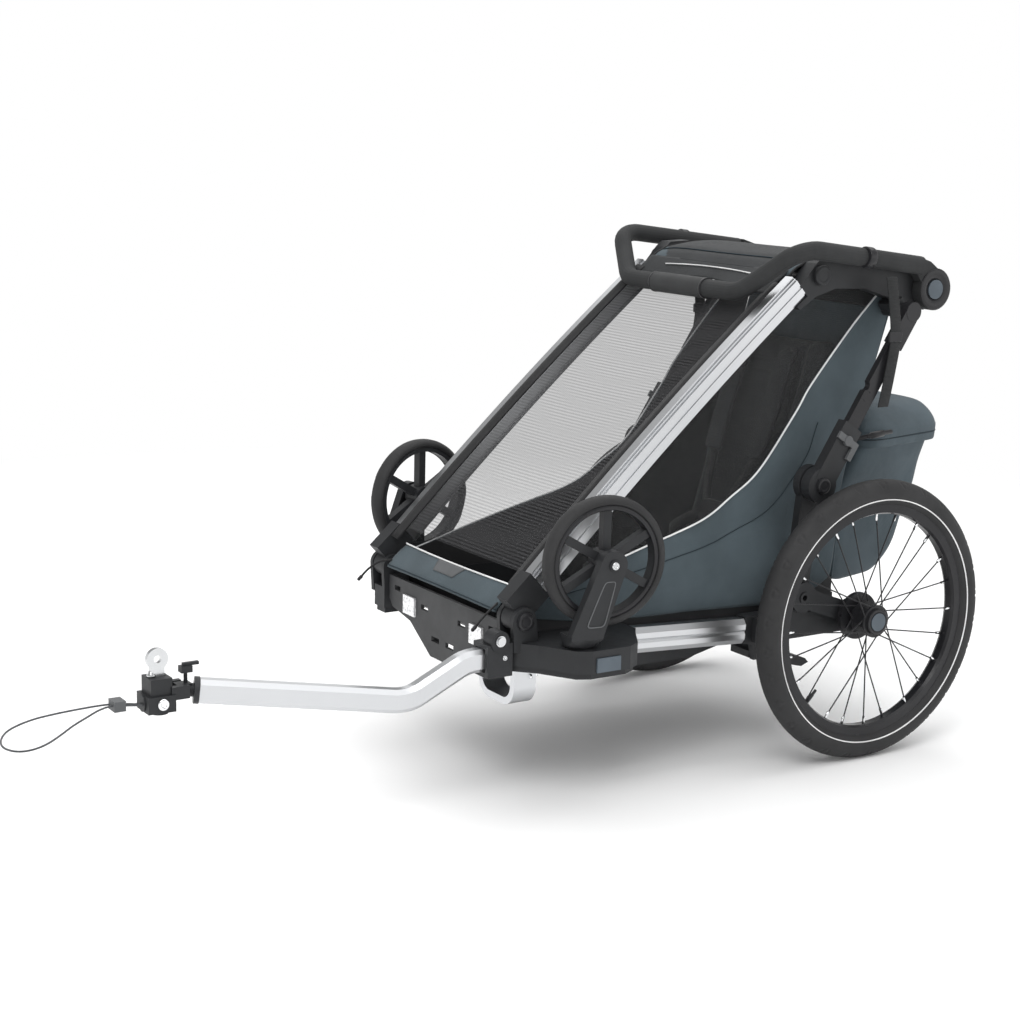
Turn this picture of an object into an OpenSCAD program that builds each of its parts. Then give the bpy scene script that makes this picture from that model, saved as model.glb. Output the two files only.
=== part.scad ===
// Child bicycle trailer for one seat: folding frame, tow arm, two spoked wheels, two stowed stroller wheels.
// Millimetres. +Z is up, the trailer travels towards -Y, and +X is its own left.
// Places are given in the axle frame: Y = 0 under the main axle, Z = 0 on the ground, X = 0 on the centre plane.

/* [Main wheels] */
// Outer diameter of a main wheel
wheel_d = 500; // [480:5:510]
// Diameter of the tyre's section
tyre_w = 46; // [40:1:48]
// Centre plane to the middle of a tyre
wheel_x = 308; // [306:1:312]
// Spokes in one wheel
spoke_count = 24; // [16:4:32]

/* [Frame] */
// Centre plane to the inner face of an upright
upright_x = 201; // [200:0.5:202]
// Width of an upright and of a side rail
bar_w = 28; // [24:1:28]
// Depth of an upright in the side view
upright_t = 45; // [38:1:46]
// How far the middle of an upright bows forward
upright_bow = 9; // [0:1:14]
// Depth of a side rail in the side view
rail_t = 44; // [38:1:46]

/* [Handlebar] */
// Diameter of the foam grip tube
handlebar_d = 32; // [28:1:34]
// Half the width between the upper bends
handlebar_x = 261; // [250:1:262]
// Half the width between the lower corners
crossbar_x = 160; // [140:2:170]

/* [Stroller wheels] */
// Outer diameter of a stroller wheel
stroller_d = 212; // [180:2:216]
// Spokes in a stroller wheel
stroller_spokes = 6; // [5:1:8]
// Toe of the stowed stroller wheels, in degrees
stroller_toe = 8.8; // [0:0.2:10]

/* [Tow arm] */
// Height of the arm's section
arm_h = 38; // [34:1:42]
// Width of the arm's section
arm_w = 28; // [24:1:30]
// Diameter of the hole that takes the bicycle's axle
axle_hole_d = 12; // [10:0.5:14]

/* [Cabin] */
// Half the width of the cabin's fabric
cabin_x = 198; // [180:1:199]
// Thickness of fabric covers
cloth_t = 4; // [3:0.5:5]
// Width of the seat
seat_w = 300; // [240:10:320]

/* [Hidden] */
$fn = 64;

// Outermost places along the travel direction, which set the origin under the middle of the trailer
hitch_front = -1268;
bag_rear = 300;
axle_y = -(hitch_front + bag_rear) / 2;

// Side-view places [y, z] of the pivots
fold_pivot = [-677, 312];
upright_lo = [-664, 345];
upright_hi = [-128, 829];
knee = [-93, 490];
post_top = [97, 783];
swing_pivot = [-114, 292];
barrel = [164, 819];
boss = [-86, 848];
axle = [0, wheel_d / 2];

// Planes across the trailer, stepping outwards from the uprights
bracket_x = upright_x + bar_w + 2;
bracket_w = 16;
post_x = bracket_x + bracket_w + 5;
post_w = 20;
gap = 0.3;
running = 0.05;

// Main wheel
wheel_r = wheel_d / 2;
tyre_ring = wheel_r - tyre_w / 2;
rim_in = 190;
rim_out = 208;
rim_w = 25;
flange_r = 29;
hub_in = 272;
cap_x = 330;
axle_r = 8;
button_r = 16;
button_travel = 4;

// Stowed stroller wheel, in its own frame: x is the outward normal, y backwards, z up
stroller_at = [297, -567, 412];
stroller_stem = [-1, -40];
stem_r = 11;
stem_top = -135.5;
stem_len = 44;

// Pivot of the parking brake's pedal
pedal_at = [-180, 196];

// Front bracket block
bracket_z = 228;
bracket_h = 48;

// Tow arm's middle line and the coupling at its tip
arm_corners = [[215, -702, 252], [215, -772, 252], [214, -876, 202], [107, -1178, 234]];
arm_bend = 70;
arm_dir = [-0.341, -0.935, 0.095];
neck_at = arm_corners[3];
head_at = [99, -1222, 238];
pitch_at = [-1207, 238];

// Safety cord: out of the coupling, through its lock, round a loop and back
cord_d = 3;
cord_route = [[96, -1262, 222], [92, -1275, 222], [86, -1285, 222], [80, -1298, 222], [76, -1310, 222],
              [72, -1330, 221], [66, -1360, 218], [60, -1392, 214], [60, -1420, 211], [68, -1447, 208],
              [84, -1469, 206], [106, -1484, 204], [132, -1492, 203], [158, -1491, 204], [176, -1480, 205],
              [182, -1462, 207], [174, -1440, 209], [156, -1415, 212], [132, -1386, 216], [110, -1358, 218],
              [94, -1333, 221], [86, -1312, 222], [89, -1299, 222], [95, -1286, 222], [100, -1275, 222],
              [104, -1262, 222]];

// ---- helpers ----

module place() translate([0, axle_y, 0]) children();

module both_sides() {
    children();
    mirror([1, 0, 0]) children();
}

// Turns a flat shape drawn in [y, z] and extruded upwards into one that grows outwards from x
module in_side(x) translate([x, 0, 0]) rotate([90, 0, 90]) children();

module plate(x, w, points) in_side(x) linear_extrude(w) polygon(points);

module x_cyl(at, x0, x1, r) translate([x0, at[0], at[1]]) rotate([0, 90, 0]) cylinder(h = x1 - x0, r = r);

// Puts local z on the line from a to b in the side view, with local x across the trailer and -y on its upper side
module along(a, b) translate([0, a[0], a[1]]) rotate([atan2(b[1] - a[1], b[0] - a[0]) - 90, 0, 0]) children();

function span(a, b) = norm(b - a);
function toward(a, b, d) = a + (b - a) * d / norm(b - a);
function unit(v) = v / norm(v);

// A flat bar of thickness t and width w between two side-view points
module side_bar(a, b, x, w, t) along(a, b) translate([x, -t / 2, 0]) cube([w, t, span(a, b)]);

// Turns local z onto the direction from p to q, in space
module aim(p, q) {
    d = unit(q - p);
    translate(p) rotate([0, acos(d[2]), atan2(d[1], d[0])]) children();
}

// The points of an arc of radius bend that rounds the corner at b between a and c
function corner(a, b, c, bend, steps) =
    let (u = unit(b - a), v = unit(c - b), turn = acos(u * v), side = unit(v - u * (u * v)),
         centre = b - u * bend * tan(turn / 2) + side * bend)
    [for (k = [0:steps]) let (w = turn * k / steps) centre - side * bend * cos(w) + u * bend * sin(w)];

// A route through rounded corners, from its first point to its last
function rounded(route, bend, steps = 8) = let (last = len(route) - 1)
    concat([route[0]],
        [for (i = [1:last - 1]) each corner(route[i - 1], route[i], route[i + 1], bend, steps)],
        [route[last]]);

// Sweeps a closed outline of [across, up] points along a route, keeping its sides level
module sweep(route, outline) {
    m = len(outline);
    n = len(route);
    rings = [for (i = [0:n - 1])
        let (t = unit(route[min(i + 1, n - 1)] - route[max(i - 1, 0)]), a = unit(cross(t, [0, 0, 1])), b = cross(a, t))
        [for (p = outline) route[i] + a * p[0] + b * p[1]]];
    sides = [for (i = [0:n - 2], j = [0:m - 1])
        [i * m + j, i * m + (j + 1) % m, (i + 1) * m + (j + 1) % m, (i + 1) * m + j]];
    polyhedron([for (ring = rings) each ring],
        concat([[for (j = [m - 1:-1:0]) j]], sides, [[for (j = [0:m - 1]) (n - 1) * m + j]]), convexity = 6);
}

function ring_outline(r, n) = [for (k = [0:n - 1]) [r * cos(k * 360 / n), r * sin(k * 360 / n)]];

// Rectangle with chamfered corners, as [across, up] points
function slab_outline(w, h, c) = [[w / 2, -h / 2 + c], [w / 2, h / 2 - c], [w / 2 - c, h / 2], [-w / 2 + c, h / 2],
    [-w / 2, h / 2 - c], [-w / 2, -h / 2 + c], [-w / 2 + c, -h / 2], [w / 2 - c, -h / 2]];

module stroller_frame() translate(stroller_at) rotate([0, 0, -stroller_toe]) children();

// ---- chassis ----

rail_front = [-460, 251];
rail_back = [-222, 238];

module side_rails() color("silver") place() both_sides()
    along(rail_front, rail_back) translate([upright_x + 10, 0, 0])
        linear_extrude(span(rail_front, rail_back)) bar_section(bar_w, rail_t);

// Outline of an extruded frame bar: chamfered, with a shallow groove in its outer face
module bar_section(w, t) polygon([
    [4, -t / 2], [w - 7, -t / 2], [w, -t / 2 + 9], [w, -4], [w - 2.5, 0], [w, 4],
    [w, t / 2 - 9], [w - 7, t / 2], [4, t / 2], [0, t / 2 - 4], [0, -t / 2 + 4]]);

// Plastic ends that carry the rails back to the axle, the left one with the brake pedal's pin
module rail_couplers() color("#202224") place() {
    both_sides() plate(upright_x + 6, bracket_x - upright_x - 6 - gap,
        [[-219, 214], [-196, 210], [60, 210], [60, 250], [-84, 262], [-217, 262]]);
    plate(221, bracket_x - 221 - gap, [[-194, 182], [-166, 182], [-160, 210.5], [-200, 212]]);
    x_cyl(pedal_at, 168, 222, 5);
    x_cyl(pedal_at, 165, 168.1, 9);
}

bracket_outline = [[190, -697], [226, -697], [262, -664], [320, -630], [332, -606], [332, -534], [318, -510],
                   [258, -472], [246, -462], [190, -462]];

module front_brackets() color("#242628") place() both_sides() difference() {
    union() {
        translate([0, 0, bracket_z + 10]) linear_extrude(bracket_h - 10) polygon(bracket_outline);
        translate([0, 0, bracket_z]) linear_extrude(10)
            polygon([[194, -693], [224, -693], [258, -660], [314, -626], [324, -604], [324, -538], [312, -514],
                     [254, -476], [244, -466], [194, -466]]);
        for (x = [190, bracket_x]) hull() {
            x_cyl(fold_pivot, x, x + 9, 22);
            translate([x, -696, 262]) cube([9, 46, 8]);
        }
        x_cyl(fold_pivot, 190, bracket_x + 9, 8);
        x_cyl(fold_pivot, bracket_x + 8, bracket_x + 13, 15);
    }
    stroller_frame() translate([stroller_stem[0], stroller_stem[1], stem_top - stem_len - 2])
        cylinder(h = 100, r = stem_r + running);
    translate([325, -600, 240]) cube([10, 46, 24]);
}

// U-shaped skid under the arm's receiver, on which the parked trailer's nose can rest
module front_hoop() color("silver") place() translate([168, -642, 0]) rotate([90, 0, 0]) linear_extrude(42)
    difference() {
        hoop_outline(55, 163, 34);
        hoop_outline(43, 175, 22);
        translate([-60, bracket_z]) square([120, 60]);
    }

module hoop_outline(half, low, r) {
    translate([-half, low + r]) square([2 * half, 250 - low - r]);
    translate([-half + r, low]) square([2 * half - 2 * r, r + 1]);
    for (s = [-1, 1]) translate([s * (half - r), low + r]) circle(r);
}

module front_shell() color("#3a3d40") place() difference() {
    translate([0, -652, 0]) rotate([90, 0, 0]) linear_extrude(36)
        polygon([[-188, 300], [-188, 258], [-176, 244], [-112, 232], [-40, 186], [40, 186], [112, 232], [176, 244],
                 [188, 258], [188, 300]]);
    translate([0, -651, 0]) rotate([90, 0, 0]) linear_extrude(31)
        polygon([[-184, 301], [-184, 260], [-174, 248], [-110, 236], [-38, 190], [38, 190], [110, 236], [174, 248],
                 [184, 260], [184, 301]]);
    for (s = [-1, 1], slot = [[62, 262, 24], [158, 276, 20], [24, 214, 26]])
        translate([s * slot[0] - slot[2] / 2, -700, slot[1]]) cube([slot[2], 40, 9]);
    for (s = [-1, 1]) translate([s * 112 - 20, -700, 243]) cube([40, 40, 34]);
}

module front_reflectors() color("white") place() for (s = [-1, 1]) translate([s * 112, 0, 260])
    rotate([90, 0, 0]) translate([0, 0, 682]) linear_extrude(10)
        polygon([[-19.5, -16.5], [19.5, -16.5], [19.5, 16.5], [-19.5, 16.5]]);

module floor_tub() color("#1c1e20") place() difference() {
    plate(-190, 380, [[-648, 250], [-600, 222], [-440, 192], [-300, 192], [-120, 232], [14, 262], [14, 300],
                      [-648, 300]]);
    plate(-186, 372, [[-644, 253], [-599, 226], [-439, 196], [-301, 196], [-121, 236], [10, 265], [10, 301],
                      [-644, 301]]);
}

module axle_beam() color("#26282a") place() {
    x_cyl([36, 230], -upright_x - 6, upright_x + 6, 17);
    for (s = [-1, 1]) translate([s * 150 - 9, 16, 246]) cube([18, 30, 15.9]);
}

module knuckle_brackets() color("#1e2022") place() both_sides() difference() {
    union() {
        side_bar(swing_pivot, knee, bracket_x, bracket_w, 44);
        side_bar([-120, 236], swing_pivot, bracket_x, bracket_w, 52);
        side_bar([-200, 238], [40, 238], bracket_x, bracket_w, 44);
        x_cyl(knee, bracket_x, bracket_x + bracket_w, 32);
        x_cyl(swing_pivot, bracket_x, bracket_x + bracket_w, 30);
        x_cyl(knee, bracket_x + 10, post_x + post_w + 1, 9);
        x_cyl(knee, post_x + post_w + 0.4, post_x + post_w + 4, 14);
        x_cyl(swing_pivot, bracket_x + 10, bracket_x + bracket_w + 19, 10);
    }
    x_cyl(swing_pivot, bracket_x + 20, bracket_x + bracket_w + 40, 5);
}

// ---- tow arm and coupling ----

module hitch_receiver() color("#202224") place() difference() {
    union() {
        translate([194, -744, 225]) cube([44, 46.7, 54]);
        x_cyl([-722, 284], 214, 240, 17);
    }
    translate([215 - arm_w / 2 - gap, -750, 252 - arm_h / 2 - gap]) cube([arm_w + 2 * gap, 60, arm_h + 2 * gap]);
    x_cyl([-722, 285], 226, 260, 9.4);
}

module hitch_release_button() color("silver") place() {
    x_cyl([-722, 285], 233, 242, 9);
    x_cyl([-722, 285], 241.9, 245, 7);
}

module hitch_arm() color("silver") place()
    sweep(rounded(arm_corners, arm_bend), slab_outline(arm_w, arm_h, 7));

module hitch_neck() color("#1d1f21") place() difference() {
    union() {
        aim(neck_at + arm_dir * 0.5, neck_at + arm_dir * 40) {
            cylinder(h = 8, r = 21);
            translate([0, 0, 7.9]) cylinder(h = 9, r = 10.5);
        }
        translate([head_at[0] - 10, -1214, 229]) cube([20, 24, 18]);
    }
    x_cyl(pitch_at, 70, 130, 5 + running);
    translate([head_at[0], -1197, 240]) cylinder(h = 10, r = 3 + running);
}

module hitch_head() color("#191b1d") place() difference() {
    union() {
        translate([head_at[0] - 24, -1266, 211]) cube([48, 44, 26]);
        translate([head_at[0] - 19, -1260, 236.9]) cube([38, 34, 26]);
        translate([head_at[0], -1240, 205]) cylinder(h = 8, r = 14);
        for (s = [-1, 1]) translate([head_at[0] + s * 17 - 5, -1228, 228]) cube([10, 29, 20]);
        x_cyl(pitch_at, head_at[0] - 15, head_at[0] + 15, 5);
        translate([head_at[0], hitch_front, 224]) rotate([-90, 0, 0]) cylinder(h = 20, r = 13);
    }
    translate([head_at[0] - 4, -1256, 250]) cube([8.6, 26, 30]);
    for (x = [96, 104]) translate([x, -1269, 222]) rotate([-90, 0, 0]) cylinder(h = 9, r = cord_d / 2);
}

module axle_bracket() color("silver") place() difference() {
    union() {
        translate([head_at[0] - 3.7, -1254, 250]) cube([8, 22, 30]);
        x_cyl([-1243, 290], head_at[0] - 3.7, head_at[0] + 4.3, 17);
    }
    x_cyl([-1243, 290], 80, 120, axle_hole_d / 2);
}

module hitch_pin() color("#25282a") place() translate([head_at[0], -1197, 240.5]) {
    cylinder(h = 24, r = 3);
    translate([-7, -9, 23]) cube([14, 18, 10]);
    translate([-3, -5, 32.9]) cube([6, 26, 5]);
}

module cord_lock() color("#303438") place() difference() {
    translate([70, -1309, 214]) cube([26, 18, 16]);
    sweep(cord_route, ring_outline(cord_d / 2 + 0.15, 8));
}

module safety_cord() color("#4a4d50") place() sweep(cord_route, ring_outline(cord_d / 2, 8));

// ---- cabin ----

module seat_base() color("#3c4246") place()
    plate(-seat_w / 2, seat_w, [[-330, 250], [-318, 302], [-120, 312], [-106, 300], [-112, 250]]);

module seat_back() color("#42484c") place()
    plate(-seat_w / 2, seat_w, [[-104, 306], [-60, 290], [-38, 306], [72, 716], [62, 734], [34, 738], [22, 726]]);

module harness() color("#16181a") place() {
    for (s = [-1, 1]) plate(s * 70 - 22, 44, [[-72, 478], [-56, 474], [6, 680], [-9, 686]]);
    plate(-24, 48, [[-190, 312.2], [-110, 356], [-116, 372], [-200, 330]]);
}

module side_panels() color("#3a4a55") place() both_sides() plate(cabin_x - 5, 4.6, [
    [-640, 301], [-104, 301], [-78, 330], [-66, 470], [60, 690], [96, 770], [98, 806], [-60, 806], [-112, 806],
    [-640, 334]]);

module rear_panel() color("#35434d") place() plate(-cabin_x + 5.4, 2 * cabin_x - 10.8,
    [[8, 301], [12, 301], [20, 470], [114, 780], [110, 780], [16, 472]]);

// The bag's own shell, wider under its lid's front edge, with the struts that hold the lid off the frame
module cargo_bag() color("#3a4a55") place() {
    intersection() {
        plate(-212, 424, [[30, 306], [70, 274], [150, 256], [205, 280], [250, 330], [286, 440], [290, 545],
                          [300, 552], [300, 578], [288, 598], [88, 606], [40, 450]]);
        rotate([90, 0, 0]) translate([0, 0, -301]) linear_extrude(300) polygon([
            [-125, 250], [125, 250], [150, 425], [196, 548], [212, 556], [150, 607], [-150, 607], [-212, 556],
            [-196, 548], [-150, 425]]);
        linear_extrude(700) polygon([[-212, 0], [212, 0], [212, 109], [150, 301], [-150, 301], [-212, 109]]);
    }
    for (s = [-1, 1]) aim([s * 206, 24, 552], [s * 206, 124, 561]) {
        cylinder(h = 100, r = 4);
        translate([0, 0, 48]) cylinder(h = 30, r = 6);
    }
}

module straps() color("#17191b") place() both_sides()
    plate(post_x + post_w + 2, 3, [[22, 848], [46, 848], [64, 738], [44, 618], [20, 618], [40, 738]]);

// ---- brake ----

module brake_pedal() color("#2b2e30") place() difference() {
    union() {
        plate(170, 50, [[-196, 184], [-196, 196], [-176, 206], [-150, 196], [-66, 166], [-58, 158], [-74, 152]]);
        x_cyl(pedal_at, 170, 220, 10);
    }
    x_cyl(pedal_at, 160, 240, 5 + running);
}

// ---- suspension and main wheels, drawn for the left side ----

module suspension_arm() color("#232527") place() {
    x = bracket_x + bracket_w + 1;
    difference() {
        union() {
            side_bar(swing_pivot, axle, x, 16, 36);
            x_cyl(swing_pivot, x, x + 16, 27);
            x_cyl(axle, x, x + 16, 25);
        }
        x_cyl(swing_pivot, x - 5, x + 30, 10 + running);
    }
    x_cyl(axle, x + 10, 312, axle_r);
}

module tyre() color("#222426") place() translate([wheel_x, axle[0], axle[1]]) rotate([0, 90, 0])
    rotate_extrude($fn = 128) translate([tyre_ring, 0]) circle(tyre_w / 2);

module rim() color("#191a1c") place() translate([wheel_x, axle[0], axle[1]]) rotate([0, 90, 0])
    rotate_extrude($fn = 128) difference() {
        polygon([[rim_in, -7], [rim_in + 3, -rim_w / 2], [rim_out, -rim_w / 2], [rim_out, rim_w / 2],
                 [rim_in + 3, rim_w / 2], [rim_in, 7]]);
        translate([tyre_ring, 0]) circle(tyre_w / 2);
    }

module spokes() color("#2c2e30") place() translate([wheel_x, axle[0], axle[1]])
    for (k = [0:spoke_count - 1]) {
        side = k % 2 == 0 ? 1 : -1;
        way = floor(k / 2) % 2 == 0 ? 1 : -1;
        lean = way * 42;
        at = k * 360 / spoke_count;
        from = [side * 15 + way * 1.9, (flange_r - 3) * cos(at + lean), (flange_r - 3) * sin(at + lean)];
        to = [side * 3 + way * 1.9, (rim_in + 1) * cos(at), (rim_in + 1) * sin(at)];
        aim(from, to) {
            cylinder(h = norm(to - from), r = 1.2);
            translate([0, 0, norm(to - from) - 14]) cylinder(h = 14, r = 2);
        }
    }

module hub() color("#1b1c1e") place() difference() {
    union() {
        x_cyl(axle, hub_in, hub_in + 9, 42);
        x_cyl(axle, hub_in + 8.9, 320, 18);
        for (s = [-1, 1]) x_cyl(axle, wheel_x + s * 15 - 2, wheel_x + s * 15 + 2, flange_r);
        x_cyl(axle, wheel_x + 14, cap_x, 23);
    }
    x_cyl(axle, hub_in - 1, 313, axle_r + running);
    x_cyl(axle, 318, cap_x + 1, button_r + 0.4);
}

module hub_button() color("#6a6e72") place() x_cyl(axle, 318 + button_travel + 0.4, cap_x + 2, button_r);

// ---- stroller wheels, drawn for the left side ----

module stroller_arm() color("#222527") place() stroller_frame() {
    hull() {
        translate([stroller_stem[0], stroller_stem[1], stem_top]) cylinder(h = 8, r = 27, $fn = 32);
        translate([-8, -70, -118]) cube([44, 56, 5]);
    }
    hull() {
        translate([20, -70, -114]) cube([16, 56, 5]);
        translate([21, 0, 0]) rotate([0, 90, 0]) cylinder(h = 17, r = 23, $fn = 32);
    }
    translate([stroller_stem[0], stroller_stem[1], stem_top - stem_len]) cylinder(h = stem_len + 1, r = stem_r);
    translate([-14, 0, 0]) rotate([0, 90, 0]) cylinder(h = 36, r = 6);
    translate([37.9, 0, 0]) rotate([0, 90, 0]) cylinder(h = 3, r = 9);
}

module stroller_wheel() color("#1f2123") place() stroller_frame() rotate([0, 90, 0]) {
    r = stroller_d / 2;
    difference() {
        translate([0, 0, -17]) cylinder(h = 34, r = 20);
        translate([0, 0, -18]) cylinder(h = 40, r = 6 + running);
    }
    difference() {
        translate([0, 0, -11]) cylinder(h = 22, r = r - 14);
        translate([0, 0, -12]) cylinder(h = 24, r = r - 22);
    }
    for (k = [0:stroller_spokes - 1]) rotate([0, 0, k * 360 / stroller_spokes])
        translate([19.4, -7, -8]) cube([r - 41, 14, 16]);
}

module stroller_tyre() color("#2a2c2e") place() stroller_frame() rotate([0, 90, 0])
    rotate_extrude($fn = 128) polygon([[92, -13], [98, -15], [103, -11], [stroller_d / 2, -4],
        [stroller_d / 2, 4], [103, 11], [98, 15], [92, 13]]);

module stroller_button() color("#4d5c68") place() translate([326 + button_travel, -599.6, 240.4])
    cube([5, 45.2, 23.2]);

// ---- upper frame ----

upright_len = span(upright_lo, upright_hi);
upright_u = unit(upright_hi - upright_lo);

// The place at s along an upright and n above its middle line, in the side view
function bar_at(s, n) = upright_lo + upright_u * s
    + [-upright_u[1], upright_u[0]] * (n + upright_bow * (1 - pow(2 * s / upright_len - 1, 2)));

// A band that follows the uprights' bow from s0 to s1, between the heights n0 and n1
module bow_band(x, w, s0, s1, n0, n1, steps = 18) plate(x, w, concat(
    [for (i = [0:steps]) bar_at(s0 + (s1 - s0) * i / steps, n0)],
    [for (i = [steps:-1:0]) bar_at(s0 + (s1 - s0) * i / steps, n1)]));

module upright_bar() difference() {
    union() {
        bow_band(upright_x, bar_w - 3, 0, upright_len, 4 - upright_t / 2, upright_t / 2 - 4);
        bow_band(upright_x + 4, bar_w - 10, 0, upright_len, -upright_t / 2, upright_t / 2);
        bow_band(upright_x + 8, bar_w - 8, 0, upright_len, 8 - upright_t / 2, upright_t / 2 - 8);
    }
    bow_band(upright_x + bar_w - 2, 4, -5, upright_len + 5, -3, 3);
}

module uprights() color("silver") place() both_sides() upright_bar();

module upright_feet() color("#202224") place() both_sides() difference() {
    union() {
        x_cyl(fold_pivot, upright_x, upright_x + bar_w, 21);
        along(upright_lo, upright_hi) translate([upright_x - 1, -upright_t / 2 - 7, -30])
            cube([bar_w + 2, upright_t + 10, 60]);
    }
    x_cyl(fold_pivot, 180, 260, 8 + running);
    bow_band(upright_x, bar_w, 0, upright_len, -upright_t / 2, upright_t / 2);
}

arm_outline = [[-150, 806], [-96, 868], [-84, 878], [-40, 880], [60, 866], [150, 855], [160, 781], [92, 800],
               [20, 822], [-50, 824], [-92, 812], [-128, 790]];

module top_arms() color("#1d1f21") place() both_sides() difference() {
    union() {
        plate(upright_x - 2, bar_w + 2, arm_outline);
        x_cyl(barrel, upright_x - 2, upright_x + bar_w, 37);
        x_cyl(boss, upright_x, bracket_x + 4, 17);
        x_cyl(barrel, upright_x + 20, bracket_x + 6, 12);
        side_bar([84, 800], post_top, upright_x, bar_w + 14, 24);
        x_cyl(post_top, upright_x, bracket_x + 18, 13);
    }
    bow_band(upright_x, bar_w, 0, upright_len, -upright_t / 2, upright_t / 2);
}

module top_crossbars() color("#25282a") place() {
    x_cyl([-60, 846], 2 - upright_x, upright_x - 2, 10);
    x_cyl([128, 820], 2 - upright_x, upright_x - 2, 10);
}

module front_cover() color("#4a4c4e") place()
    bow_band(-cabin_x, 2 * cabin_x, 24, upright_len - 76, upright_t / 2 - 2 - cloth_t, upright_t / 2 - 2);

module front_strip() color("#3a4a55") place() along([-689, 308], upright_hi)
    translate([-178, -14, 2]) cube([356, cloth_t, 46]);

module canopy() color("#25292c") place() {
    plate(-cabin_x, 2 * cabin_x, [[-178, 812], [-118, 868], [-84, 884], [-20, 888], [60, 878], [136, 862],
        [136, 858], [60, 874], [-20, 884], [-83, 880], [-115, 864], [-175, 809]]);
}

// ---- rear posts, which close the frame behind ----

post_len = span(knee, post_top);
socket_len = 118;
module rear_posts() color("#1b1d1f") place() both_sides() difference() {
    union() {
        x_cyl(knee, post_x - 1.5, post_x + post_w - 0.5, 31);
        along(knee, post_top) translate([post_x, -22, 5]) cube([post_w, 44, socket_len - 5]);
    }
    x_cyl(knee, post_x - 5, post_x + post_w + 5, 9 + running);
    along(knee, post_top) translate([post_x + 4, -14.3, 48]) cube([12.6, 28.6, 90]);
}

module post_rails() color("#7c8084") place() both_sides() difference() {
    union() {
        along(knee, post_top) translate([post_x + 4.3, -14, 52]) cube([12, 28, post_len - 60]);
        x_cyl(post_top, post_x + 1.4, post_x + 18.6, 17);
        along(knee, post_top) translate([post_x + 2, -16, post_len - 70]) cube([16, 32, 70]);
    }
    x_cyl(toward(knee, post_top, 190) + [-14, 10], post_x, post_x + 30, 9);
}

module fold_latches() color("#3a4046") place() both_sides()
    along(knee, post_top) translate([post_x + post_w + 0.3, 0, 0]) {
        translate([0, -25, 84]) cube([5, 50, 12]);
        translate([0, 14, 62]) cube([5, 11, 34]);
        translate([0, 0, 90]) rotate([0, 90, 0]) cylinder(h = 6.2, r = 9);
    }

// ---- handlebar ----

handle_left = [[250, 124, 862], [handlebar_x, -156, 896], [crossbar_x, -208, 816]];
handle_route = [handle_left[0], handle_left[1], handle_left[2],
                [-crossbar_x, -208, 816], [-handlebar_x, -156, 896], [-250, 118, 863]];

module handlebar() color("#232527") place() {
    sweep(rounded(handle_route, 52), ring_outline(handlebar_d / 2, 20));
    both_sides() difference() {
        union() {
            x_cyl(barrel, bracket_x, bracket_x + 19, 37);
            plate(bracket_x, 19, [[118, 848], [118, 878], [150, 868], [190, 840], [188, 812], [140, 820]]);
        }
        x_cyl(barrel, bracket_x - 1, bracket_x + 7, 12 + running);
        x_cyl(barrel, bracket_x + 9, bracket_x + 20, 17.4);
    }
}

module handlebar_grip() color("#2b2e31") place() difference() {
    x_cyl([-208, 816], -72, 72, handlebar_d / 2 + 2);
    x_cyl([-208, 816], -80, 80, handlebar_d / 2);
}

module handlebar_button() color("#5b6064") place()
    x_cyl(barrel, bracket_x + 9 + button_travel + 0.4, bracket_x + 21, 17);

side_rails();
rail_couplers();
front_brackets();
front_hoop();
front_shell();
front_reflectors();
floor_tub();
axle_beam();
knuckle_brackets();
hitch_receiver();
hitch_arm();
hitch_release_button();
hitch_neck();
hitch_head();
axle_bracket();
hitch_pin();
cord_lock();
safety_cord();
seat_base();
seat_back();
harness();
side_panels();
rear_panel();
cargo_bag();
straps();
brake_pedal();
suspension_arm();  // suspension_arm_left
mirror([1, 0, 0]) suspension_arm();  // suspension_arm_right
tyre();  // tyre_left
rim();  // rim_left
spokes();  // spokes_left
hub();  // hub_left
hub_button();  // hub_button_left
mirror([1, 0, 0]) tyre();  // tyre_right
mirror([1, 0, 0]) rim();  // rim_right
mirror([1, 0, 0]) spokes();  // spokes_right
mirror([1, 0, 0]) hub();  // hub_right
mirror([1, 0, 0]) hub_button();  // hub_button_right
stroller_arm();  // stroller_arm_left
stroller_wheel();  // stroller_wheel_left
stroller_tyre();  // stroller_tyre_left
stroller_button();  // stroller_button_left
mirror([1, 0, 0]) stroller_arm();  // stroller_arm_right
mirror([1, 0, 0]) stroller_wheel();  // stroller_wheel_right
mirror([1, 0, 0]) stroller_tyre();  // stroller_tyre_right
mirror([1, 0, 0]) stroller_button();  // stroller_button_right
uprights();
upright_feet();
top_arms();
top_crossbars();
front_cover();
front_strip();
canopy();
rear_posts();
post_rails();
fold_latches();
handlebar();
handlebar_grip();
handlebar_button();  // handlebar_button_left
mirror([1, 0, 0]) handlebar_button();  // handlebar_button_right
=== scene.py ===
import bpy
import numpy as np
from math import sin, cos, pi, radians, sqrt
from mathutils import Vector, Matrix, noise


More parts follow.
